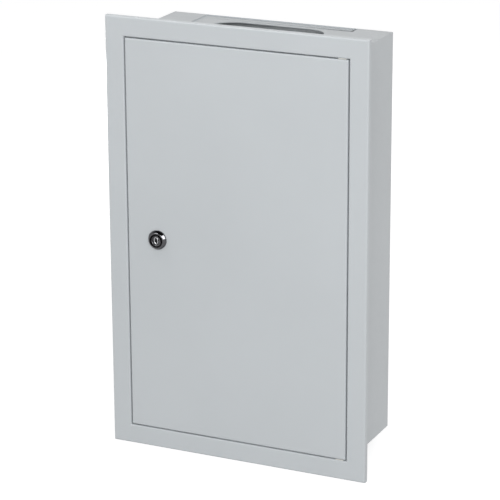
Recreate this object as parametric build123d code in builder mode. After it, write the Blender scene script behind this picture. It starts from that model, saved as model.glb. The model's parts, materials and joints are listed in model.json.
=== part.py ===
"""Flush-mount distribution board: wall box, front frame, hinged door with cam lock, rails and terminals.

Millimetres. The origin is the centre of the wall box's back face. +X is to the right seen from the
front, +Y goes into the wall and +Z is up, so the front of the frame is at -Y.
"""

import os

from build123d import *

# Overall sizes: the frame's outline and the depth from its face to the back of the box
frame_width = 350.0
frame_height = 560.0
overall_depth = 142.0

# Sheet steel of box, frame and door: thickness, inside radius of the folds, flat left beside a fold
sheet = 1.2
bend = 0.8
fold_flat = 20.0

# Front frame
border = 25.0
frame_return = 8.0
collar_depth = 21.0
stop_width = 16.0
frame_screw_inset = 85.0
frame_screw_radius = 2.5
frame_screw_across = 8.0
frame_screw_head = 3.5
frame_screw_length = 10.0
frame_screw_clearance = 0.1
frame_slot_width = 5.4
frame_slot_length = 7.4

# Wall box
side_overlap = 26.0
end_overlap = 21.0
box_lip = 14.0
wall_hole_spacing_x = 140.0
wall_hole_inset = 34.0
wall_hole_radius = 3.5

# Cable entries in the top and bottom of the box
entry_width = 207.0
entry_back = 2.4
entry_front_margin = 17.0
entry_overlap = 16.0
entry_front_overlap = 9.0
slot_length = 151.0
slot_width = 61.0
slot_back = 20.5
strip_depth = 16.2
strip_leg = 22.0
strip_tuck = 8.0
strip_end_gap = 5.4
strip_gap_left = 0.2
strip_gap_right = 7.0

# Door
door_side_gap = 1.6
door_end_gap = 1.2
door_depth = 12.0
door_lip = 10.0
buffer_length = 14.0
buffer_width = 8.0
buffer_bevel = 1.0
buffer_gap = 0.5
buffer_inset = 55.0
end_buffer_x = -40.0

# Hinges: pins on angle brackets in the door, turning in flanged bushes in the collar
hinge_inset = 8.0
pin_radius = 2.5
running_gap = 0.05
pin_clearance = 0.3
pin_reach = 3.0
bush_body = 7.0
bush_flange = 10.0
bush_flange_thickness = 0.9
bush_fit = 0.1
bracket_sheet = 1.5
bracket_drop = 20.0
bracket_leg = 16.0
bracket_width = 8.0

# Lock
lock_inset = 41.5
lock_proud = 5.5
lock_base_radius = 12.4
lock_skirt = 2.2
lock_face_radius = 10.0
barrel_radius = 9.0
core_radius = 5.5
core_recess = 0.6
key_slot_width = 1.8
key_slot_height = 7.0
key_slot_depth = 14.0
clip_width = 26.0
clip_thickness = 1.5
clip_gap = 0.2
cam_clearance = 2.0
cam_play = 0.25
cam_thickness = 2.0
cam_reach = 36.0
cam_heel = 9.0
cam_width = 16.0
cam_bevel = 4.0
tang = 7.0
cam_fit = 0.1
cam_screw_radius = 2.0
cam_screw_across = 10.0
cam_screw_head = 3.0
cam_screw_length = 8.0

# Uprights and rails
upright_sheet = 1.5
upright_inset = 3.0
upright_width = 24.0
upright_foot = 20.0
upright_end_inset = 8.0
upright_fixing = 14.0
rail_seat_depth = 55.5
rail_count = 3
rail_to_terminal = 46.0
rail_sheet = 1.0
rail_height = 35.0
rail_channel = 27.0
rail_depth = 7.5
hook_width = 8.0
hook_drop = 7.0
hook_gap = 0.2
hook_window = 9.5

# Cover, its posts and fasteners, and the strips that close its windows
cover_setback = 35.0
cover_sheet = 1.0
cover_side_clearance = 4.0
cover_end_clearance = 9.0
cover_return = 10.0
post_across = 10.0
post_inset = 8.0
post_socket = 12.0
peg = 5.0
peg_gap = 0.2
peg_tail = 2.0
fastener_across = 12.0
fastener_head = 4.0
fastener_length = 10.0
driver_slot = 1.6
module = 18.0
modules_per_row = 12
window_margin = 0.5
window_height = 46.0
blank_clearance = 0.3
blank_rim = 2.0
blank_sheet = 1.2
blank_wall = 5.0
blank_groove = 1.0
blank_groove_depth = 0.5

# Terminals
terminal_inset = 32.0
holder_width = 14.0
holder_height = 18.0
holder_depth = 22.0
bar_overhang = 8.0
bar_height = 8.0
bar_depth = 10.0
bar_seat = 7.0
wire_pitch = 14.0
wire_count = 14
wire_width = 5.5
wire_depth = 5.0

# Planes and edges worked out from the sizes above
front = -overall_depth
seat = front + collar_depth
stop_front = seat - sheet
lip_back = seat + sheet
back_inner = -sheet
outer_bend = bend + sheet
opening_width = frame_width - 2 * border
opening_height = frame_height - 2 * border
box_width = frame_width - 2 * side_overlap
box_height = frame_height - 2 * end_overlap
wall_inner_z = box_height / 2 - sheet
door_width = opening_width - 2 * door_side_gap
door_height = opening_height - 2 * door_end_gap
door_back = front + door_depth
door_inner = front + sheet
frame_screw_x = (opening_width - stop_width) / 2
frame_screw_z = opening_height / 2 - frame_screw_inset
hinge_x = door_width / 2 - hinge_inset
hinge_y = front + door_depth / 2
lock_x = -door_width / 2 + lock_inset
lock_face = front - lock_proud
cam_front = lip_back + cam_clearance
cam_back = cam_front + cam_thickness
barrel_end = cam_front - cam_play
rail_seat = -rail_seat_depth
cover_front = front + cover_setback
cover_back = cover_front + cover_sheet
cover_width = box_width - 2 * box_lip - 2 * cover_side_clearance
cover_height = box_height - 2 * box_lip - 2 * cover_end_clearance
upright_edge = cover_width / 2 - upright_inset
upright_length = cover_height - 2 * upright_end_inset
fixing_x = upright_edge - upright_fixing
post_row = upright_length / 2 - post_inset
terminal_row = upright_length / 2 - terminal_inset
rail_pitch = 2 * (terminal_row - rail_to_terminal) / (rail_count - 1)
rail_rows = [rail_pitch * (row - (rail_count - 1) / 2) for row in range(rail_count)]
window_width = modules_per_row * module + 2 * window_margin


def facing(y):
    """Plane across the board at a depth y: local X is +X, local Y is +Z, and it looks to the front."""
    return Plane.XZ.offset(-y)


def both_sides(x, *rows):
    """Places at plus and minus x on each row."""
    return [(side * x, z) for z in rows for side in (-1, 1)]


def folded_ring(outline, radii, thickness, width, height):
    """Folded sheet carried round a rectangle with mitred corners.

    The outline is the section's outer face on the right-hand side, as (x, y) points.
    """
    with BuildPart() as ring:
        with BuildSketch(Plane.XY):
            with BuildLine():
                FilletPolyline(*outline, radius=radii)
                offset(amount=thickness, side=Side.RIGHT)
            make_face()
        with BuildLine() as path:
            Polyline(
                (width / 2, 0, 0),
                (width / 2, 0, height / 2),
                (-width / 2, 0, height / 2),
                (-width / 2, 0, -height / 2),
                (width / 2, 0, -height / 2),
                (width / 2, 0, 0),
            )
        sweep(path=path.wires()[0], transition=Transition.RIGHT)
    return ring.part


# Wall box: walls, back edge and inward lips are one folded section; the back plate closes it
frame_screw_hole = 2 * (frame_screw_radius + frame_screw_clearance)
frame_screw_places = both_sides(frame_screw_x, -frame_screw_z, frame_screw_z)
entry_front = seat + entry_front_margin
entry_depth = -entry_back - entry_front
box_walls = folded_ring(
    [
        (box_width / 2 - fold_flat, 0),
        (box_width / 2, 0),
        (box_width / 2, seat),
        (box_width / 2 - box_lip, seat),
    ],
    outer_bend,
    sheet,
    box_width,
    box_height,
)

with BuildPart() as wall_box:
    add(box_walls)
    with BuildSketch(facing(0)):
        Rectangle(box_width - 2 * fold_flat, box_height - 2 * fold_flat)
    extrude(amount=sheet)
    with BuildSketch(facing(0)):
        with GridLocations(wall_hole_spacing_x, box_height - 2 * wall_hole_inset, 2, 2):
            Circle(wall_hole_radius)
    extrude(amount=sheet, mode=Mode.SUBTRACT)
    with BuildSketch(facing(lip_back)):
        with Locations(*frame_screw_places):
            Rectangle(frame_screw_hole, frame_screw_hole)
    extrude(amount=sheet, mode=Mode.SUBTRACT)
    with BuildSketch(Plane.XY):
        with Locations((0, entry_front + entry_depth / 2)):
            Rectangle(entry_width, entry_depth)
    extrude(amount=box_height / 2, both=True, mode=Mode.SUBTRACT)

# Cable entry plates: flat sheets welded under the end walls, each with an oblong slot
plate_front = entry_front - entry_front_overlap
plate_depth = -strip_depth - plate_front
with BuildPart() as entry_plate_top:
    with BuildSketch(Plane.XY.offset(wall_inner_z)):
        with Locations((0, plate_front + plate_depth / 2)):
            Rectangle(entry_width + 2 * entry_overlap, plate_depth)
        with Locations((0, -slot_back - slot_width / 2)):
            SlotOverall(slot_length, slot_width, mode=Mode.SUBTRACT)
    extrude(amount=-sheet)

with BuildPart() as entry_plate_bottom:
    mirror(entry_plate_top.part, about=Plane.XY)

# Rear closing strips: angles on the back wall whose gap to the plate widens to the right
strip_left = -entry_width / 2 - strip_tuck
strip_right = entry_width / 2 - strip_end_gap
strip_edge_left = -strip_depth + strip_gap_left
strip_edge_right = -strip_depth + strip_gap_right
skew_line = Vector(strip_right - strip_left, strip_edge_right - strip_edge_left, 0)

with BuildPart() as rear_strip_top:
    with BuildSketch(Plane.YZ.offset(strip_left)):
        with BuildLine():
            FilletPolyline(
                (strip_edge_left, wall_inner_z),
                (back_inner, wall_inner_z),
                (back_inner, wall_inner_z - sheet - strip_leg),
                radius=outer_bend,
            )
            offset(amount=sheet, side=Side.RIGHT)
        make_face()
    extrude(amount=strip_right - strip_left)
    split(
        bisect_by=Plane(
            origin=(strip_left, strip_edge_left, wall_inner_z),
            x_dir=skew_line,
            z_dir=Vector(0, 0, 1).cross(skew_line),
        ),
        keep=Keep.TOP,
    )

with BuildPart() as rear_strip_bottom:
    mirror(rear_strip_top.part, about=Plane.XY)

# Front frame: outer return, border, collar and stop flange are one folded section
frame_section = folded_ring(
    [
        (frame_width / 2, front + frame_return),
        (frame_width / 2, front),
        (opening_width / 2, front),
        (opening_width / 2, stop_front),
        (opening_width / 2 - stop_width, stop_front),
    ],
    [outer_bend, outer_bend, bend],
    sheet,
    frame_width,
    frame_height,
)

with BuildPart() as front_frame:
    add(frame_section)
    with BuildSketch(facing(seat)):
        with Locations(*frame_screw_places):
            Rectangle(frame_slot_width, frame_slot_length)
    extrude(amount=sheet, mode=Mode.SUBTRACT)
    for end in (-1, 1):
        with BuildSketch(Plane.XY.offset(end * opening_height / 2)):
            with Locations((hinge_x, hinge_y)):
                Rectangle(bush_body + 2 * bush_fit, bush_body + 2 * bush_fit)
        extrude(amount=end * sheet, mode=Mode.SUBTRACT)

with BuildPart() as frame_screws:
    with BuildSketch(facing(stop_front)):
        with Locations(*frame_screw_places):
            RegularPolygon(frame_screw_across / 2, 6, major_radius=False)
    extrude(amount=frame_screw_head)
    with BuildSketch(facing(stop_front)):
        with Locations(*frame_screw_places):
            Circle(frame_screw_radius)
    extrude(amount=-frame_screw_length)

# Rubber buffers on the stop flange, just short of the closed door
end_buffer_z = (opening_height - stop_width) / 2
side_buffer_z = opening_height / 2 - buffer_inset
with BuildPart() as door_buffers:
    with BuildSketch(facing(stop_front)):
        with Locations((-frame_screw_x, -side_buffer_z), (-frame_screw_x, side_buffer_z)):
            Rectangle(buffer_width, buffer_length)
        with Locations((end_buffer_x, -end_buffer_z), (end_buffer_x, end_buffer_z)):
            Rectangle(buffer_length, buffer_width)
    extrude(amount=stop_front - door_back - buffer_gap)
    chamfer(door_buffers.faces().filter_by(Axis.Y).group_by(Axis.Y)[0].edges(), buffer_bevel)

# Hinge bushes: square bodies in the collar, with a flange between it and the door's end returns
with BuildPart() as hinge_bush_upper:
    with BuildSketch(Plane.XY.offset(opening_height / 2)):
        with Locations((hinge_x, hinge_y)):
            Rectangle(bush_body, bush_body)
    extrude(amount=sheet)
    with BuildSketch(Plane.XY.offset(opening_height / 2)):
        with Locations((hinge_x, hinge_y)):
            Rectangle(bush_flange, bush_flange)
    extrude(amount=-bush_flange_thickness)
    with BuildSketch(Plane.XY.offset(opening_height / 2 + sheet)):
        with Locations((hinge_x, hinge_y)):
            Circle(pin_radius + running_gap)
    extrude(amount=-sheet - bush_flange_thickness, mode=Mode.SUBTRACT)

with BuildPart() as hinge_bush_lower:
    mirror(hinge_bush_upper.part, about=Plane.XY)

# Door: returns and inward lips are one folded section round the panel
door_edges = folded_ring(
    [
        (door_width / 2 - door_lip, door_back),
        (door_width / 2, door_back),
        (door_width / 2, front),
        (door_width / 2 - fold_flat, front),
    ],
    outer_bend,
    sheet,
    door_width,
    door_height,
)

pin_hole = 2 * (pin_radius + pin_clearance)
with BuildPart() as door_panel:
    add(door_edges)
    with BuildSketch(facing(door_inner)):
        Rectangle(door_width - 2 * fold_flat, door_height - 2 * fold_flat)
    extrude(amount=sheet)
    with BuildSketch(facing(door_inner)):
        with Locations((lock_x, 0)):
            Circle(barrel_radius + running_gap)
    extrude(amount=sheet, mode=Mode.SUBTRACT)
    with BuildSketch(Plane.XY):
        with Locations((hinge_x, hinge_y)):
            Rectangle(pin_hole, pin_hole)
    extrude(amount=door_height / 2, both=True, mode=Mode.SUBTRACT)

# Hinge pins: each stands on a small angle welded inside the door's hinge edge
door_edge_inner = door_width / 2 - sheet
bracket_top = door_height / 2 - bracket_drop
pin_tip = opening_height / 2 + sheet + pin_reach
with BuildPart() as hinge_pin_upper:
    with BuildSketch(facing(hinge_y + bracket_width / 2)):
        with BuildLine():
            FilletPolyline(
                (hinge_x - hinge_inset, bracket_top - bracket_sheet),
                (door_edge_inner, bracket_top - bracket_sheet),
                (door_edge_inner, bracket_top - bracket_sheet + bracket_leg),
                radius=bend + bracket_sheet,
            )
            offset(amount=bracket_sheet, side=Side.LEFT)
        make_face()
    extrude(amount=bracket_width)
    with BuildSketch(Plane.XY.offset(bracket_top)):
        with Locations((hinge_x, hinge_y)):
            Circle(pin_radius)
    extrude(amount=pin_tip - bracket_top)

with BuildPart() as hinge_pin_lower:
    mirror(hinge_pin_upper.part, about=Plane.XY)

# Cam lock: turned housing, horseshoe clip, core with key slot, cam and its screw
lock_axis = Axis((lock_x, 0, 0), (0, 1, 0))
bore_radius = core_radius + running_gap
with BuildPart() as lock_housing:
    with BuildSketch(Plane.XY):
        with BuildLine():
            Polyline(
                (lock_x + bore_radius, lock_face),
                (lock_x + lock_face_radius, lock_face),
                (lock_x + lock_base_radius, front - lock_skirt),
                (lock_x + lock_base_radius, front),
                (lock_x + barrel_radius, front),
                (lock_x + barrel_radius, barrel_end),
                (lock_x + bore_radius, barrel_end),
                close=True,
            )
        make_face()
    revolve(axis=lock_axis)

with BuildPart() as lock_clip:
    with BuildSketch(facing(door_inner + clip_thickness)):
        with Locations((lock_x, 0)):
            Rectangle(clip_width, clip_width)
            Circle(barrel_radius + clip_gap, mode=Mode.SUBTRACT)
        with Locations((lock_x, -clip_width / 2)):
            Rectangle(2 * (barrel_radius + clip_gap), clip_width, mode=Mode.SUBTRACT)
    extrude(amount=clip_thickness)

with BuildPart() as lock_core:
    with BuildSketch(facing(cam_front)):
        with Locations((lock_x, 0)):
            Circle(core_radius)
    extrude(amount=cam_front - lock_face - core_recess)
    with BuildSketch(facing(cam_front)):
        with Locations((lock_x, 0)):
            Rectangle(tang, tang)
    extrude(amount=-cam_thickness)
    with BuildSketch(facing(lock_face + key_slot_depth)):
        with Locations((lock_x, 0)):
            Rectangle(key_slot_width, key_slot_height)
    extrude(amount=key_slot_depth, mode=Mode.SUBTRACT)
    with BuildSketch(facing(cam_back)):
        with Locations((lock_x, 0)):
            Circle(cam_screw_radius + running_gap)
    extrude(amount=cam_screw_length, mode=Mode.SUBTRACT)

with BuildPart() as lock_cam:
    with BuildSketch(facing(cam_front)):
        with Locations((lock_x, (cam_heel - cam_reach) / 2)):
            bar_outline = Rectangle(cam_width, cam_heel + cam_reach)
        chamfer(bar_outline.vertices(), cam_bevel)
        with Locations((lock_x, 0)):
            Rectangle(tang + 2 * cam_fit, tang + 2 * cam_fit, mode=Mode.SUBTRACT)
    extrude(amount=-cam_thickness)

with BuildPart() as cam_screw:
    with BuildSketch(facing(cam_back)):
        with Locations((lock_x, 0)):
            RegularPolygon(cam_screw_across / 2, 6, major_radius=False)
    extrude(amount=-cam_screw_head)
    with BuildSketch(facing(cam_back)):
        with Locations((lock_x, 0)):
            Circle(cam_screw_radius)
    extrude(amount=cam_screw_length)

# Uprights: channels welded to the back wall, slotted for rails, terminal holders and cover posts
peg_rows = (-post_row, -terminal_row, terminal_row, post_row)
with BuildPart() as upright_right:
    with BuildSketch(Plane.XY):
        with BuildLine():
            FilletPolyline(
                (upright_edge - upright_foot, back_inner),
                (upright_edge, back_inner),
                (upright_edge, rail_seat),
                (upright_edge - upright_width, rail_seat),
                radius=bend + upright_sheet,
            )
            offset(amount=upright_sheet, side=Side.RIGHT)
        make_face()
    extrude(amount=upright_length / 2, both=True)
    with BuildSketch(facing(rail_seat)):
        with Locations(*[(fixing_x, row + hook_window / 2) for row in rail_rows]):
            Rectangle(hook_width + 2 * hook_gap, hook_window)
        with Locations(*[(fixing_x, row) for row in peg_rows]):
            Rectangle(peg + 2 * peg_gap, peg + 2 * peg_gap)
    extrude(amount=-upright_sheet, mode=Mode.SUBTRACT)

with BuildPart() as upright_left:
    mirror(upright_right.part, about=Plane.YZ)

# Rails for modular devices: top-hat sections that hang in the uprights by lanced hooks
rail_front = rail_seat - rail_depth
hook_back = rail_seat + upright_sheet + hook_gap


def device_rail(row):
    """One top-hat rail across both uprights at height row."""
    with BuildPart() as rail:
        with BuildSketch(Plane.YZ.offset(-upright_edge)):
            with BuildLine():
                Polyline(
                    (rail_front + rail_sheet, row - rail_height / 2),
                    (rail_front + rail_sheet, row - rail_channel / 2),
                    (rail_seat, row - rail_channel / 2),
                    (rail_seat, row + rail_channel / 2),
                    (rail_front + rail_sheet, row + rail_channel / 2),
                    (rail_front + rail_sheet, row + rail_height / 2),
                )
                offset(amount=rail_sheet, side=Side.LEFT, kind=Kind.INTERSECTION)
            make_face()
        extrude(amount=2 * upright_edge)
        with BuildSketch(facing(rail_seat)):
            with Locations(*both_sides(fixing_x, row + hook_gap + rail_sheet + hook_drop / 2)):
                Rectangle(hook_width, hook_drop)
        extrude(amount=rail_sheet, mode=Mode.SUBTRACT)
        for side in (-1, 1):
            with BuildSketch(Plane.YZ.offset(side * fixing_x)):
                with BuildLine():
                    Polyline(
                        (rail_seat - rail_sheet, row + hook_gap),
                        (hook_back, row + hook_gap),
                        (hook_back, row - hook_drop),
                        (hook_back + rail_sheet, row - hook_drop),
                        (hook_back + rail_sheet, row + hook_gap + rail_sheet),
                        (rail_seat - rail_sheet, row + hook_gap + rail_sheet),
                        close=True,
                    )
                make_face()
            extrude(amount=hook_width / 2, both=True)
    return rail


rails = dict(zip(("din_rail_bottom", "din_rail_middle", "din_rail_top"), map(device_rail, rail_rows)))

# Cover posts: hexagon spacers pegged into the uprights, with a square socket for each fastener
post_places = both_sides(fixing_x, -post_row, post_row)
with BuildPart() as cover_posts:
    with BuildSketch(facing(rail_seat)):
        with Locations(*post_places):
            RegularPolygon(post_across / 2, 6, major_radius=False)
    extrude(amount=rail_seat - cover_back)
    with BuildSketch(facing(rail_seat)):
        with Locations(*post_places):
            Rectangle(peg, peg)
    extrude(amount=-upright_sheet - peg_tail)
    with BuildSketch(facing(cover_back)):
        with Locations(*post_places):
            Rectangle(peg + 2 * peg_gap, peg + 2 * peg_gap)
    extrude(amount=-post_socket, mode=Mode.SUBTRACT)

# Cover plate: a shallow tray with a window for each row of devices
cover_edges = folded_ring(
    [
        (cover_width / 2, cover_front + cover_return),
        (cover_width / 2, cover_front),
        (cover_width / 2 - upright_inset, cover_front),
    ],
    bend + cover_sheet,
    cover_sheet,
    cover_width,
    cover_height,
)

with BuildPart() as cover_plate:
    add(cover_edges)
    with BuildSketch(facing(cover_back)):
        Rectangle(cover_width - 2 * upright_inset, cover_height - 2 * upright_inset)
        with Locations(*[(0, row) for row in rail_rows]):
            Rectangle(window_width, window_height, mode=Mode.SUBTRACT)
        with Locations(*post_places):
            Rectangle(peg + 2 * peg_gap, peg + 2 * peg_gap, mode=Mode.SUBTRACT)
    extrude(amount=cover_sheet)

with BuildPart() as cover_fasteners:
    with BuildSketch(facing(cover_front)):
        with Locations(*post_places):
            RegularPolygon(fastener_across / 2, 6, major_radius=False)
    extrude(amount=fastener_head)
    with BuildSketch(facing(cover_front)):
        with Locations(*post_places):
            Rectangle(peg, peg)
    extrude(amount=-cover_sheet - fastener_length)
    with BuildSketch(facing(cover_front - fastener_head)):
        with Locations(*post_places):
            Rectangle(fastener_across, driver_slot)
    extrude(amount=-driver_slot, mode=Mode.SUBTRACT)


# Blanking strips: grooved plastic trays that close the module places of each window
def blanking_strip(row):
    """One row's strip: a rim on the cover and a skirt through the window."""
    skirt_width = window_width - 2 * blank_clearance
    skirt_height = window_height - 2 * blank_clearance
    with BuildPart() as strip:
        with BuildSketch(facing(cover_front)):
            with Locations((0, row)):
                Rectangle(window_width + 2 * blank_rim, window_height + 2 * blank_rim)
        extrude(amount=blank_sheet)
        with BuildSketch(facing(cover_front)):
            with Locations((0, row)):
                Rectangle(skirt_width, skirt_height)
                Rectangle(skirt_width - 2 * blank_sheet, skirt_height - 2 * blank_sheet, mode=Mode.SUBTRACT)
        extrude(amount=-blank_wall)
        with BuildSketch(facing(cover_front - blank_sheet)):
            with Locations((0, row)):
                with GridLocations(module, 1, modules_per_row - 1, 1):
                    Rectangle(blank_groove, window_height)
        extrude(amount=-blank_groove_depth, mode=Mode.SUBTRACT)
    return strip


blank_names = ("blanking_strip_bottom", "blanking_strip_middle", "blanking_strip_top")
blanks = dict(zip(blank_names, map(blanking_strip, rail_rows)))

# Terminals: insulating holders pegged into the uprights and a brass bar with wire openings
holder_front = rail_seat - holder_depth
bar_floor = holder_front + bar_seat
bar_length = 2 * (fixing_x + bar_overhang)


def terminal_holders(row):
    """Two insulating blocks with a groove for the bar."""
    with BuildPart() as holders:
        with BuildSketch(facing(rail_seat)):
            with Locations(*both_sides(fixing_x, row)):
                Rectangle(holder_width, holder_height)
        extrude(amount=holder_depth)
        with BuildSketch(facing(rail_seat)):
            with Locations(*both_sides(fixing_x, row)):
                Rectangle(peg, peg)
        extrude(amount=-upright_sheet - peg_tail)
        with BuildSketch(facing(bar_floor)):
            with Locations((0, row)):
                Rectangle(bar_length, bar_height)
        extrude(amount=bar_seat, mode=Mode.SUBTRACT)
    return holders


def terminal_bar(row):
    """Brass bar with a row of wire openings through it."""
    with BuildPart() as bar:
        with BuildSketch(facing(bar_floor)):
            with Locations((0, row)):
                Rectangle(bar_length, bar_height)
        extrude(amount=bar_depth)
        with BuildSketch(Plane.XY.offset(row)):
            with Locations((0, bar_floor - bar_depth / 2)):
                with GridLocations(wire_pitch, 1, wire_count, 1):
                    Rectangle(wire_width, wire_depth)
        extrude(amount=bar_height / 2, both=True, mode=Mode.SUBTRACT)
    return bar


terminals = {
    "neutral_holders": terminal_holders(terminal_row),
    "earth_holders": terminal_holders(-terminal_row),
    "neutral_bar": terminal_bar(terminal_row),
    "earth_bar": terminal_bar(-terminal_row),
}

pieces = {
    "wall_box": wall_box,
    "entry_plate_top": entry_plate_top,
    "entry_plate_bottom": entry_plate_bottom,
    "rear_strip_top": rear_strip_top,
    "rear_strip_bottom": rear_strip_bottom,
    "front_frame": front_frame,
    "frame_screws": frame_screws,
    "door_buffers": door_buffers,
    "hinge_bush_upper": hinge_bush_upper,
    "hinge_bush_lower": hinge_bush_lower,
    "door_panel": door_panel,
    "hinge_pin_upper": hinge_pin_upper,
    "hinge_pin_lower": hinge_pin_lower,
    "lock_housing": lock_housing,
    "lock_clip": lock_clip,
    "lock_core": lock_core,
    "lock_cam": lock_cam,
    "cam_screw": cam_screw,
    "upright_left": upright_left,
    "upright_right": upright_right,
    **rails,
    "cover_posts": cover_posts,
    "cover_plate": cover_plate,
    "cover_fasteners": cover_fasteners,
    **blanks,
    **terminals,
}

os.makedirs("parts", exist_ok=True)
for name, piece in pieces.items():
    piece.part.label = name
    export_step(piece.part, f"parts/{name}.step")
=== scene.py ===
"""Looks of the flush-mount distribution board: finishes, fine fittings, floor, lights and camera.

The frame is the board's own: origin at the centre of the box's back face, +X right, +Y into the wall, +Z up.
The scene is in metres. The fine pieces are written in millimetres, like the CAD, and scaled as they are made.
"""

import json
import math

import bmesh
import bpy
from mathutils import Matrix, Vector


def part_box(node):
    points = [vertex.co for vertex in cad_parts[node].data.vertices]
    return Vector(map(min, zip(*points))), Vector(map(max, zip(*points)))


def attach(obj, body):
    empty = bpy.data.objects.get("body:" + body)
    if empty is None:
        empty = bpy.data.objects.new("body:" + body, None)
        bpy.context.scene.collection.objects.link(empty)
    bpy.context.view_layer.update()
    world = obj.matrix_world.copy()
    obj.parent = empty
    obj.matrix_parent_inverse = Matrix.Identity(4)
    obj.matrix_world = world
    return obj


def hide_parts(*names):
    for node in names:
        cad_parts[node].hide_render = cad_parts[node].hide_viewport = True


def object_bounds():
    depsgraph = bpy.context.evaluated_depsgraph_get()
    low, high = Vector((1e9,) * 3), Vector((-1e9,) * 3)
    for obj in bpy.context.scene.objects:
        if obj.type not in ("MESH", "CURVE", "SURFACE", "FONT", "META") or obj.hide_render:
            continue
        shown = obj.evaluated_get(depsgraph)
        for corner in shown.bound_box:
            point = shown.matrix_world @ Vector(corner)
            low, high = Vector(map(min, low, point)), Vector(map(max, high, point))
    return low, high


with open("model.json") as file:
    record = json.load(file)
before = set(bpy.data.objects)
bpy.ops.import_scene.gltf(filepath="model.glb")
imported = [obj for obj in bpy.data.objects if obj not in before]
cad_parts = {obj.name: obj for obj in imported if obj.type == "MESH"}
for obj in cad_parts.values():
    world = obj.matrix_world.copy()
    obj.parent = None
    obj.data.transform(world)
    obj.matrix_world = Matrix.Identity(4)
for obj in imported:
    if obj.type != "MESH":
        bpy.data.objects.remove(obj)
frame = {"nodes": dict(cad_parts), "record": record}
cad_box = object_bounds()
MM = 0.001

# Most of a noise texture's values lie between these two
NOISE_LOW = 0.3
NOISE_HIGH = 0.7


# Finishes
def new_material(name):
    """New node material; returns the material, its node tree and its shader."""
    material = bpy.data.materials.new(name)
    material.use_nodes = True
    tree = material.node_tree
    return material, tree, tree.nodes["Principled BSDF"]


def noise(tree, scale, detail, stretch=(1.0, 1.0, 1.0)):
    """Noise texture in the piece's own metres, optionally stretched along an axis."""
    coords = tree.nodes.new("ShaderNodeTexCoord")
    mapping = tree.nodes.new("ShaderNodeMapping")
    mapping.inputs["Scale"].default_value = stretch
    texture = tree.nodes.new("ShaderNodeTexNoise")
    texture.inputs["Scale"].default_value = scale
    texture.inputs["Detail"].default_value = detail
    tree.links.new(coords.outputs["Object"], mapping.inputs["Vector"])
    tree.links.new(mapping.outputs["Vector"], texture.inputs["Vector"])
    return texture.outputs["Fac"]


def spread(tree, value, low, high):
    """Noise value mapped to the range low to high."""
    remap = tree.nodes.new("ShaderNodeMapRange")
    remap.inputs["From Min"].default_value = NOISE_LOW
    remap.inputs["From Max"].default_value = NOISE_HIGH
    remap.inputs["To Min"].default_value = low
    remap.inputs["To Max"].default_value = high
    tree.links.new(value, remap.inputs["Value"])
    return remap.outputs["Result"]


def shades(tree, value, colour, amount):
    """Colour that goes from a little darker to a little lighter with a noise value."""
    ramp = tree.nodes.new("ShaderNodeValToRGB")
    ends = zip(ramp.color_ramp.elements, (NOISE_LOW, NOISE_HIGH), (1 - amount, 1 + amount))
    for element, place, factor in ends:
        element.position = place
        element.color = (*(channel * factor for channel in colour), 1.0)
    tree.links.new(value, ramp.inputs["Fac"])
    return ramp.outputs["Color"]


def bump(tree, shader, layers):
    """Chain of bumps, each (height, strength, distance in metres), joined to the shader's normal."""
    normal = None
    for height, strength, distance in layers:
        node = tree.nodes.new("ShaderNodeBump")
        node.inputs["Strength"].default_value = strength
        node.inputs["Distance"].default_value = distance
        tree.links.new(height, node.inputs["Height"])
        if normal:
            tree.links.new(normal, node.inputs["Normal"])
        normal = node.outputs["Normal"]
    tree.links.new(normal, shader.inputs["Normal"])


def powder_coat(name, colour, roughness):
    """Baked powder paint: fine orange peel, faint clouds, and gloss that varies where the powder flowed."""
    material, tree, shader = new_material(name)
    peel = noise(tree, scale=900.0, detail=2.0)
    flow = noise(tree, scale=140.0, detail=2.0)
    cloud = noise(tree, scale=9.0, detail=3.0)
    tree.links.new(shades(tree, cloud, colour, 0.012), shader.inputs["Base Color"])
    tree.links.new(spread(tree, flow, roughness - 0.04, roughness + 0.04), shader.inputs["Roughness"])
    bump(tree, shader, [(flow, 0.06, 0.0004), (peel, 0.10, 0.00012)])
    return material


def plated(name, colour, roughness, stretch, grain):
    """Plated or drawn metal whose grain runs along the axis that is stretched."""
    material, tree, shader = new_material(name)
    shader.inputs["Metallic"].default_value = 1.0
    lines = noise(tree, scale=grain, detail=3.0, stretch=stretch)
    cloud = noise(tree, scale=25.0, detail=4.0)
    tree.links.new(shades(tree, cloud, colour, 0.06), shader.inputs["Base Color"])
    tree.links.new(spread(tree, lines, roughness * 0.75, roughness * 1.25), shader.inputs["Roughness"])
    bump(tree, shader, [(lines, 0.05, 0.00005)])
    return material


def plastic(name, colour, roughness, grain):
    """Moulded plastic or rubber with a fine grain."""
    material, tree, shader = new_material(name)
    fine = noise(tree, scale=grain, detail=2.0)
    cloud = noise(tree, scale=30.0, detail=3.0)
    tree.links.new(shades(tree, cloud, colour, 0.03), shader.inputs["Base Color"])
    tree.links.new(spread(tree, fine, roughness - 0.06, roughness + 0.06), shader.inputs["Roughness"])
    bump(tree, shader, [(fine, 0.15, 0.00008)])
    return material


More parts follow.
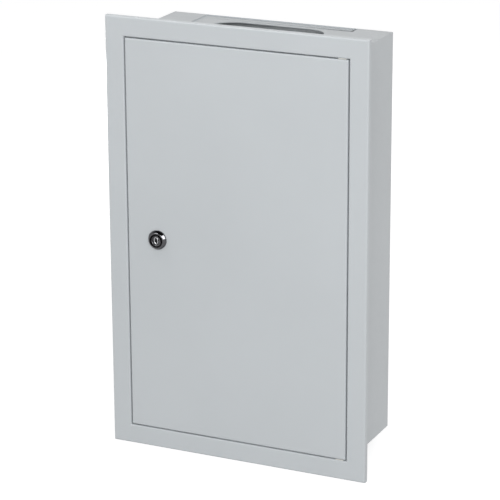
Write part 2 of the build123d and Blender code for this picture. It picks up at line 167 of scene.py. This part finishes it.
NO_GRAIN = (1.0, 1.0, 1.0)
ALONG_X = (0.05, 1.0, 1.0)
ALONG_Z = (1.0, 1.0, 0.05)
materials = {
    "grey_paint": powder_coat("grey_paint", (0.55, 0.58, 0.60), roughness=0.32),
    "cover_paint": powder_coat("cover_paint", (0.60, 0.62, 0.63), roughness=0.45),
    # The chrome's near-black base colour is painted dark reflection: it stands in for bright plating
    # mirroring a dark studio
    "chrome": plated("chrome", (0.09, 0.09, 0.095), roughness=0.10, stretch=NO_GRAIN, grain=2500.0),
    "zinc": plated("zinc", (0.52, 0.53, 0.54), roughness=0.30, stretch=ALONG_Z, grain=1500.0),
    "nylon": plastic("nylon", (0.72, 0.71, 0.66), roughness=0.45, grain=2200.0),
    "rubber": plastic("rubber", (0.03, 0.03, 0.03), roughness=0.75, grain=2600.0),
    "blank_plastic": plastic("blank_plastic", (0.62, 0.63, 0.64), roughness=0.50, grain=2400.0),
    "screw_plastic": plastic("screw_plastic", (0.10, 0.10, 0.11), roughness=0.48, grain=2400.0),
    "blue_plastic": plastic("blue_plastic", (0.05, 0.16, 0.45), roughness=0.45, grain=2200.0),
    "green_plastic": plastic("green_plastic", (0.06, 0.32, 0.12), roughness=0.45, grain=2200.0),
    "brass": plated("brass", (0.62, 0.47, 0.22), roughness=0.25, stretch=ALONG_X, grain=1500.0),
}

for subpart in frame["record"]["subparts"]:
    node = frame["nodes"][subpart["node"]]
    node.data.materials.clear()
    node.data.materials.append(materials[subpart["material_slot"]])


# Helpers for the fine pieces
def add_piece(name, bm, body, slot, replaces=None):
    """Turns a bmesh into a piece that rides on a body and takes a material slot."""
    bmesh.ops.recalc_face_normals(bm, faces=bm.faces)
    mesh = bpy.data.meshes.new(name)
    bm.to_mesh(mesh)
    bm.free()
    mesh.materials.append(materials[slot])
    piece = bpy.data.objects.new(name, mesh)
    bpy.context.scene.collection.objects.link(piece)
    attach(piece, body)
    if replaces:
        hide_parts(replaces)
    return piece


def rounded(corners, steps=5):
    """Closed outline from (a, b, radius) corners, each turned into an arc unless its radius is 0."""
    outline = []
    for index, (a, b, radius) in enumerate(corners):
        here = Vector((a, b))
        if radius == 0:
            outline.append(here)
            continue
        before = (Vector(corners[index - 1][:2]) - here).normalized()
        after = (Vector(corners[(index + 1) % len(corners)][:2]) - here).normalized()
        half_angle = before.angle(after) / 2
        reach = radius / math.tan(half_angle)
        centre = here + (before + after).normalized() * radius / math.sin(half_angle)
        first = here + before * reach - centre
        last = here + after * reach - centre
        turn = first.angle_signed(last)
        for step in range(steps + 1):
            angle = -turn * step / steps
            spoke = Vector((
                first.x * math.cos(angle) - first.y * math.sin(angle),
                first.x * math.sin(angle) + first.y * math.cos(angle),
            ))
            outline.append(centre + spoke)
    return outline


def join_rings(bm, rings):
    """Smooth faces between neighbouring closed rings of points, the last ring joined to the first."""
    count = len(rings[0])
    for ring, after in zip(rings, rings[1:] + rings[:1]):
        for index in range(count):
            following = (index + 1) % count
            face = bm.faces.new((ring[index], ring[following], after[following], after[index]))
            face.smooth = True


def lathe(outline, axis_x, segments):
    """Closed outline of (radius, depth) points turned about a front-to-back axis at axis_x."""
    bm = bmesh.new()
    rings = []
    for step in range(segments):
        angle = 2 * math.pi * step / segments
        rings.append([
            bm.verts.new((
                (axis_x + radius * math.cos(angle)) * MM,
                depth * MM,
                radius * math.sin(angle) * MM,
            ))
            for radius, depth in outline
        ])
    join_rings(bm, rings)
    return bm


def bevelled(node_name, width, slot, body):
    """Copy of a node whose sharp edges are rounded, in place of the node."""
    bm = bmesh.new()
    node = frame["nodes"][node_name]
    bm.from_mesh(node.data)
    bm.transform(node.matrix_world)
    bmesh.ops.remove_doubles(bm, verts=bm.verts, dist=1e-6)
    bmesh.ops.dissolve_limit(bm, angle_limit=math.radians(1), verts=bm.verts, edges=bm.edges)
    sharp_angle = math.radians(35)
    sharp = [edge for edge in bm.edges if edge.is_manifold and edge.calc_face_angle() > sharp_angle]
    bmesh.ops.bevel(
        bm,
        geom=sharp,
        offset=width * MM,
        offset_type="OFFSET",
        segments=3,
        profile=0.5,
        affect="EDGES",
        clamp_overlap=True,
    )
    for face in bm.faces:
        face.smooth = False
    return add_piece(node_name + "_fine", bm, body, slot, node_name)


def block(bm, low, high):
    """Closed box between two corners."""
    corners = (
        (low[0], low[2]),
        (high[0], low[2]),
        (high[0], high[2]),
        (low[0], high[2]),
    )
    near, far = ([bm.verts.new((x * MM, y * MM, z * MM)) for x, z in corners] for y in (low[1], high[1]))
    bm.faces.new(near)
    bm.faces.new(list(reversed(far)))
    for index in range(4):
        following = (index + 1) % 4
        bm.faces.new((near[following], near[index], far[index], far[following]))


def cut_away(solid, tool):
    """The solid less the tool, as a new bmesh."""
    helpers = []
    for name, bm in (("cut_solid", solid), ("cut_tool", tool)):
        bmesh.ops.recalc_face_normals(bm, faces=bm.faces)
        mesh = bpy.data.meshes.new(name)
        bm.to_mesh(mesh)
        bm.free()
        helpers.append(bpy.data.objects.new(name, mesh))
        bpy.context.scene.collection.objects.link(helpers[-1])
    cut = helpers[0].modifiers.new("cut", "BOOLEAN")
    cut.operation = "DIFFERENCE"
    cut.solver = "EXACT"
    cut.object = helpers[1]
    result = bmesh.new()
    result.from_object(helpers[0], bpy.context.evaluated_depsgraph_get())
    for helper in helpers:
        mesh = helper.data
        bpy.data.objects.remove(helper)
        bpy.data.meshes.remove(mesh)
    return result


# Lock housing: radii about the lock's axis and depths along it
LOCK_X = -106.9
DOOR_FRONT = -142.0
HOUSING_FRONT = -147.5
HOUSING_END = -118.05
SKIRT_FRONT = -144.2
SKIRT_RADIUS = 12.4
FACE_RADIUS = 10.0
BARREL_RADIUS = 9.0
BORE_RADIUS = 5.55
HOUSING_SEGMENTS = 128
housing_outline = rounded([
    (BORE_RADIUS, HOUSING_END, 0.2),
    (BARREL_RADIUS, HOUSING_END, 0.5),
    (BARREL_RADIUS, DOOR_FRONT, 0),
    (SKIRT_RADIUS, DOOR_FRONT, 0.2),
    (SKIRT_RADIUS, SKIRT_FRONT, 0.8),
    (FACE_RADIUS, HOUSING_FRONT, 2.0),
    (BORE_RADIUS, HOUSING_FRONT, 0.45),
])
housing_form = lathe(housing_outline, LOCK_X, HOUSING_SEGMENTS)
housing = add_piece("lock_housing_fine", housing_form, "door", "chrome", "lock_housing")

# Lock core: plated barrel with its tang, a domed face in the near-black chrome (painted dark reflection), and
# an oval bead round the key slot
CORE_RADIUS = 5.5
CORE_END = -117.8
TANG_HALF = 3.5
TANG_END = -115.8
KEY_HALF_WIDTH = 0.9
KEY_HALF_HEIGHT = 3.5
KEY_FRONT = -150.0
KEY_END = -133.5
FACE_BACK = -146.3
FACE_FRONT = -146.9
FACE_RIM = -146.5
FACE_RIM_RADIUS = 5.3
FACE_BACK_RADIUS = 5.35
DOME_RADIUS = 40.0
DOME_EDGE = 5.0
DOME_STEPS = 8


def turned(outline, segments=96):
    """Solid of revolution about the lock's axis, from an outline that starts and ends on it."""
    bm = lathe(outline, LOCK_X, segments)
    bmesh.ops.remove_doubles(bm, verts=bm.verts, dist=1e-7)
    empty_faces = [face for face in bm.faces if face.calc_area() < 1e-16]
    bmesh.ops.delete(bm, geom=empty_faces, context="FACES_ONLY")
    return bm


def key_slot(bm):
    """The piece with the key slot cut into it."""
    tool = bmesh.new()
    block(
        tool,
        (LOCK_X - KEY_HALF_WIDTH, KEY_FRONT, -KEY_HALF_HEIGHT),
        (LOCK_X + KEY_HALF_WIDTH, KEY_END, KEY_HALF_HEIGHT),
    )
    return cut_away(bm, tool)


def oval_bead(half_width, half_height, thickness, depth, around=64, across=10):
    """Closed half-sunk bead along an oval about the lock's axis."""
    bm = bmesh.new()
    rings = []
    for step in range(around):
        angle = 2 * math.pi * step / around
        centre = Vector((half_width * math.cos(angle), half_height * math.sin(angle)))
        outward = Vector((half_height * math.cos(angle), half_width * math.sin(angle))).normalized()
        ring = []
        for side in range(across):
            turn = 2 * math.pi * side / across
            spot = centre + outward * thickness * math.cos(turn)
            lift = depth - thickness * math.sin(turn)
            ring.append(bm.verts.new(((LOCK_X + spot.x) * MM, lift * MM, spot.y * MM)))
        rings.append(ring)
    join_rings(bm, rings)
    return bm


barrel = turned([(0.0, FACE_BACK), (CORE_RADIUS, FACE_BACK), (CORE_RADIUS, CORE_END), (0.0, CORE_END)])
block(barrel, (LOCK_X - TANG_HALF, CORE_END, -TANG_HALF), (LOCK_X + TANG_HALF, TANG_END, TANG_HALF))
add_piece("lock_core_fine", key_slot(barrel), "lock", "zinc", "lock_core")

dome_centre = FACE_FRONT + DOME_RADIUS
dome_radii = [DOME_EDGE * step / DOME_STEPS for step in range(DOME_STEPS + 1)]
face_outline = [(radius, dome_centre - math.sqrt(DOME_RADIUS**2 - radius**2)) for radius in dome_radii]
face_outline += [(FACE_RIM_RADIUS, FACE_RIM), (FACE_BACK_RADIUS, FACE_BACK), (0.0, FACE_BACK)]
# Face disc in the near-black chrome over the zinc core: painted dark reflection
core_face = add_piece("lock_core_face", key_slot(turned(face_outline)), "lock", "chrome")

bead = oval_bead(half_width=2.3, half_height=4.4, thickness=0.4, depth=-146.75)
core_bead = add_piece("lock_core_bead", bead, "lock", "zinc")

# Small fittings with rounded edges
bevelled("lock_cam", 0.3, "zinc", "lock")
bevelled("cam_screw", 0.4, "zinc", "lock")
bevelled("frame_screws", 0.5, "zinc", "carcass")
bevelled("cover_fasteners", 0.5, "screw_plastic", "carcass")
bevelled("neutral_holders", 0.6, "blue_plastic", "carcass")
bevelled("earth_holders", 0.6, "green_plastic", "carcass")

# Blanking strips: a plate with a rounded rim and snap-off grooves between the modules, and a skirt behind it
MODULE = 18.0
MODULES = 12
PLATE = 1.2
SKIRT_INSET = 2.3
RIM_RADIUS = 0.8
RIM_STEPS = 4
GROOVE_HALF = 0.9
GROOVE_DEPTH = 0.8
GROOVE_MARGIN = 2.0


def blanking_strip(node_name):
    """Strip of the node's own size."""
    low, high = ([value / MM for value in corner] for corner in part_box(node_name))
    half_width = (high[0] - low[0]) / 2
    half_height = (high[2] - low[2]) / 2
    row = (high[2] + low[2]) / 2
    plate_back = low[1] + PLATE
    groove_end = half_height - GROOVE_MARGIN
    boundaries = [MODULE * (place - MODULES / 2) for place in range(1, MODULES)]
    rim_angles = [math.pi / 2 * step / RIM_STEPS for step in range(RIM_STEPS + 1)]
    rim = [RIM_RADIUS * (1 - math.cos(angle)) for angle in rim_angles]

    def drop(x, z):
        """How far the front lies behind its foremost plane, from the rim and the grooves."""
        inset = min(half_width - abs(x), half_height - abs(z), RIM_RADIUS) / RIM_RADIUS
        edge = RIM_RADIUS * (1 - math.sqrt(max(0.0, 1 - (1 - inset) ** 2)))
        across = 1 - min(abs(x - boundary) for boundary in boundaries) / GROOVE_HALF
        along = (groove_end - abs(z)) / GROOVE_HALF
        return edge + GROOVE_DEPTH * max(0.0, min(across, along, 1.0))

    columns = [side * (half_width - step) for side in (-1, 1) for step in rim]
    columns += [boundary + step for boundary in boundaries for step in (-GROOVE_HALF, 0.0, GROOVE_HALF)]
    columns.sort()
    rows = [side * (half_height - step) for side in (-1, 1) for step in rim]
    rows += [side * step for side in (-1, 1) for step in (groove_end, groove_end - GROOVE_HALF)]
    rows.sort()
    bm = bmesh.new()

    def put(x, depth, z):
        return bm.verts.new((x * MM, depth * MM, (row + z) * MM))

    front = [[put(x, low[1] + drop(x, z), z) for z in rows] for x in columns]
    rear = [[put(x, plate_back, z) for z in rows] for x in columns]
    for sheet in (front, rear):
        for here, after in zip(sheet, sheet[1:]):
            for index in range(len(rows) - 1):
                bm.faces.new((here[index], after[index], after[index + 1], here[index + 1]))
    for near, far in (
        (front[0], rear[0]),
        (front[-1], rear[-1]),
        ([line[0] for line in front], [line[0] for line in rear]),
        ([line[-1] for line in front], [line[-1] for line in rear]),
    ):
        for index in range(len(near) - 1):
            bm.faces.new((near[index], near[index + 1], far[index + 1], far[index]))
    wide = half_width - SKIRT_INSET
    tall = half_height - SKIRT_INSET
    for side in (-1, 1):
        edges = sorted((side * tall, side * (tall - PLATE)))
        block(bm, (-wide, plate_back, row + edges[0]), (wide, high[1], row + edges[1]))
        edges = sorted((side * wide, side * (wide - PLATE)))
        block(bm, (edges[0], plate_back, row - tall + PLATE), (edges[1], high[1], row + tall - PLATE))
    return bm


for row_name in ("bottom", "middle", "top"):
    strip_node = "blanking_strip_" + row_name
    add_piece(strip_node + "_fine", blanking_strip(strip_node), "carcass", "blank_plastic", strip_node)

# Clamping screws over the wire openings of both bars
BAR_FRONT = -80.5
BAR_ROWS = (-196.0, 196.0)
WIRE_COUNT = 14
WIRE_PITCH = 14.0
SCREW_RADIUS = 2.6
SCREW_HEIGHT = 1.8
SCREW_RIM = 0.25
SCREW_STEPS = 10
SCREW_TURN = 0.9
DRIVER_WIDTH = 0.8
DRIVER_DEPTH = 0.9


def slotted_screw(bm, centre, turn):
    """Cheese head that points to the front: a disc and two half discs with a driver slot between them."""
    def put(x, depth, z):
        across = x * math.cos(turn) - z * math.sin(turn)
        along = x * math.sin(turn) + z * math.cos(turn)
        return bm.verts.new(((centre[0] + across) * MM, (centre[1] - depth) * MM, (centre[2] + along) * MM))

    def prism(shape, low, high):
        shrink = 1 - SCREW_RIM / SCREW_RADIUS
        inner = [(x * shrink, z * shrink) for x, z in shape]
        levels = [(shape, low), (shape, high - SCREW_RIM), (inner, high)]
        rows = [[put(x, depth, z) for x, z in outline] for outline, depth in levels]
        for below, above in zip(rows, rows[1:]):
            for index in range(len(shape)):
                following = (index + 1) % len(shape)
                bm.faces.new((below[index], below[following], above[following], above[index]))
        bm.faces.new(rows[-1])
        bm.faces.new(list(reversed(rows[0])))

    slot_floor = SCREW_HEIGHT - DRIVER_DEPTH
    circle = [math.pi * step / SCREW_STEPS for step in range(2 * SCREW_STEPS)]
    prism([(SCREW_RADIUS * math.cos(a), SCREW_RADIUS * math.sin(a)) for a in circle], 0.0, slot_floor)
    start = math.asin(DRIVER_WIDTH / 2 / SCREW_RADIUS)
    arc = [start + (math.pi - 2 * start) * step / SCREW_STEPS for step in range(SCREW_STEPS + 1)]
    upper = [(SCREW_RADIUS * math.cos(a), SCREW_RADIUS * math.sin(a)) for a in arc]
    prism(upper, slot_floor, SCREW_HEIGHT)
    prism([(-x, -z) for x, z in upper], slot_floor, SCREW_HEIGHT)


screws = bmesh.new()
for bar_row in BAR_ROWS:
    for place in range(WIRE_COUNT):
        x = WIRE_PITCH * (place - (WIRE_COUNT - 1) / 2)
        # Each slot stands at its own angle, as a screwdriver leaves it; the row only sets the first angle
        slotted_screw(screws, (x, BAR_FRONT, bar_row), SCREW_TURN * place + bar_row)
add_piece("terminal_screws", screws, "carcass", "brass")

# Stage: colours, and the brightness of floor and world, as seen and as a light on the board.
# The world fades from white to its overhead level between two heights of the direction, given as sines.
FLOOR_GREY = (0.45, 0.45, 0.45)
CARD_BLACK = (0.02, 0.02, 0.02)
WHITE = 1.0
FLOOR_GLOW = 0.75
WORLD_LIGHT = 0.5
OVERHEAD = 0.03
FADE_START = 0.45
FADE_END = 0.70


def stage_card(name, corners, colour):
    """Flat sheet of the stage with a plain matt finish; returns the sheet, its node tree and its shader."""
    mesh = bpy.data.meshes.new(name)
    mesh.from_pydata(corners, [], [(0, 1, 2, 3)])
    card = bpy.data.objects.new(name, mesh)
    bpy.context.scene.collection.objects.link(card)
    material, tree, shader = new_material(name)
    shader.inputs["Base Color"].default_value = (*colour, 1.0)
    shader.inputs["Roughness"].default_value = 1.0
    shader.inputs["Specular IOR Level"].default_value = 0.0
    mesh.materials.append(material)
    return card, tree, shader


def seen_by_eye(tree):
    """Node output that is one for camera rays and for rays seen in or through a piece, else zero."""
    path = tree.nodes.new("ShaderNodeLightPath")
    value = path.outputs["Is Camera Ray"]
    for other in ("Is Glossy Ray", "Is Transmission Ray"):
        larger = tree.nodes.new("ShaderNodeMath")
        larger.operation = "MAXIMUM"
        tree.links.new(value, larger.inputs[0])
        tree.links.new(path.outputs[other], larger.inputs[1])
        value = larger.outputs[0]
    return value


def between(tree, value, low, high):
    """Node that maps a value from zero to one to the range low to high."""
    remap = tree.nodes.new("ShaderNodeMapRange")
    remap.inputs["To Min"].default_value = low
    remap.inputs["To Max"].default_value = high
    tree.links.new(value, remap.inputs["Value"])
    return remap


def dark_overhead(tree):
    """Brightness of the studio by the height of a direction: white round about, dark overhead."""
    coords = tree.nodes.new("ShaderNodeTexCoord")
    axes = tree.nodes.new("ShaderNodeSeparateXYZ")
    fade = tree.nodes.new("ShaderNodeMapRange")
    fade.inputs["From Min"].default_value = FADE_START
    fade.inputs["From Max"].default_value = FADE_END
    fade.inputs["To Min"].default_value = WHITE
    fade.inputs["To Max"].default_value = OVERHEAD
    tree.links.new(coords.outputs["Generated"], axes.inputs["Vector"])
    tree.links.new(axes.outputs["Z"], fade.inputs["Value"])
    return fade.outputs["Result"]


# Floor: white to the eye, still darkened where the board keeps light off it
FLOOR_HALF = 6.0
ground = cad_box[0][2]
floor_corners = [
    (-FLOOR_HALF, -FLOOR_HALF, ground),
    (FLOOR_HALF, -FLOOR_HALF, ground),
    (FLOOR_HALF, FLOOR_HALF, ground),
    (-FLOOR_HALF, FLOOR_HALF, ground),
]
_, floor_tree, floor_shader = stage_card("floor", floor_corners, FLOOR_GREY)
floor_shader.inputs["Emission Color"].default_value = (1.0, 1.0, 1.0, 1.0)
glow = between(floor_tree, seen_by_eye(floor_tree), 0.0, FLOOR_GLOW)
floor_tree.links.new(glow.outputs["Result"], floor_shader.inputs["Emission Strength"])

# Dark card just above the floor, where the lock's face looks: only mirrors show it
CARD_LIFT = 0.002
card_outline = [(-0.60, -0.70), (-0.36, -0.70), (-0.36, -1.25), (-0.60, -1.25)]
card_corners = [(x, y, ground + CARD_LIFT) for x, y in card_outline]
card, _, _ = stage_card("dark_card", card_corners, CARD_BLACK)
card.visible_camera = False
card.visible_diffuse = False
card.visible_shadow = False

# World: white to the eye apart from overhead, softer as a light
world = bpy.data.worlds.new("studio")
bpy.context.scene.world = world
world.use_nodes = True
world_tree = world.node_tree
background = world_tree.nodes["Background"]
background.inputs["Color"].default_value = (1.0, 1.0, 1.0, 1.0)
sky = between(world_tree, seen_by_eye(world_tree), WORLD_LIGHT, WHITE)
world_tree.links.new(dark_overhead(world_tree), sky.inputs["To Max"])
world_tree.links.new(sky.outputs["Result"], background.inputs["Strength"])

# Lamps: a key from the front right, a low one from behind, two glints for the lock alone,
# and an overhead one that draws the upper folds of frame and door
BOARD_MIDDLE = Vector((0.0, -0.1, 0.0))


def lit_group(name, pieces):
    """Collection of the pieces that a lamp lights."""
    group = bpy.data.collections.new(name)
    for piece in pieces:
        group.objects.link(piece)
    return group


def area_light(name, place, size, watts, receivers=None):
    """Square soft box that points at the board, and lights only the receivers if a collection is given."""
    data = bpy.data.lights.new(name, "AREA")
    data.size = size
    data.energy = watts
    lamp = bpy.data.objects.new(name, data)
    lamp.location = place
    lamp.rotation_euler = (BOARD_MIDDLE - Vector(place)).to_track_quat("-Z", "Y").to_euler()
    lamp.light_linking.receiver_collection = receivers
    bpy.context.scene.collection.objects.link(lamp)


lock_pieces = lit_group("lock_pieces", (housing, core_face, core_bead))
front_pieces = lit_group("front_pieces", (frame["nodes"]["front_frame"], frame["nodes"]["door_panel"]))
area_light("key", (1.70, -3.30, 1.69), size=1.6, watts=96.0)
area_light("rear", (-1.5, 1.6, -0.02), size=0.45, watts=20.0)
area_light("glint_right", (1.75, -0.95, 0.9), size=1.4, watts=65.0, receivers=lock_pieces)
area_light("glint_left", (-1.4, -2.6, 1.6), size=1.3, watts=52.0, receivers=lock_pieces)
area_light("edge", (-0.81, -0.42, 2.0), size=0.5, watts=9.5, receivers=front_pieces)

# Camera, as found from the photograph: angles in degrees, lens in millimetres
CAMERA_AZIMUTH = 25.07
CAMERA_ELEVATION = 17.86
CAMERA_ROLL = -0.28
CAMERA_DISTANCE = 2.918
CAMERA_LENS = 171.3
CAMERA_TARGET = Vector((0.0201, -0.142, 0.0032))
azimuth = math.radians(CAMERA_AZIMUTH)
elevation = math.radians(CAMERA_ELEVATION)
roll = math.radians(CAMERA_ROLL)
backward = Vector((
    math.sin(azimuth) * math.cos(elevation),
    -math.cos(azimuth) * math.cos(elevation),
    math.sin(elevation),
))
level_right = Vector((math.cos(azimuth), math.sin(azimuth), 0.0))
level_up = backward.cross(level_right)
right = math.cos(roll) * level_right + math.sin(roll) * level_up
up = backward.cross(right)
camera_data = bpy.data.cameras.new("camera")
camera_data.lens = CAMERA_LENS
camera = bpy.data.objects.new("camera", camera_data)
camera_axes = Matrix((right, up, backward)).transposed()
camera.matrix_world = Matrix.Translation(CAMERA_TARGET + CAMERA_DISTANCE * backward) @ camera_axes.to_4x4()
bpy.context.scene.collection.objects.link(camera)
bpy.context.scene.camera = camera
bpy.context.scene.view_settings.view_transform = "Standard"
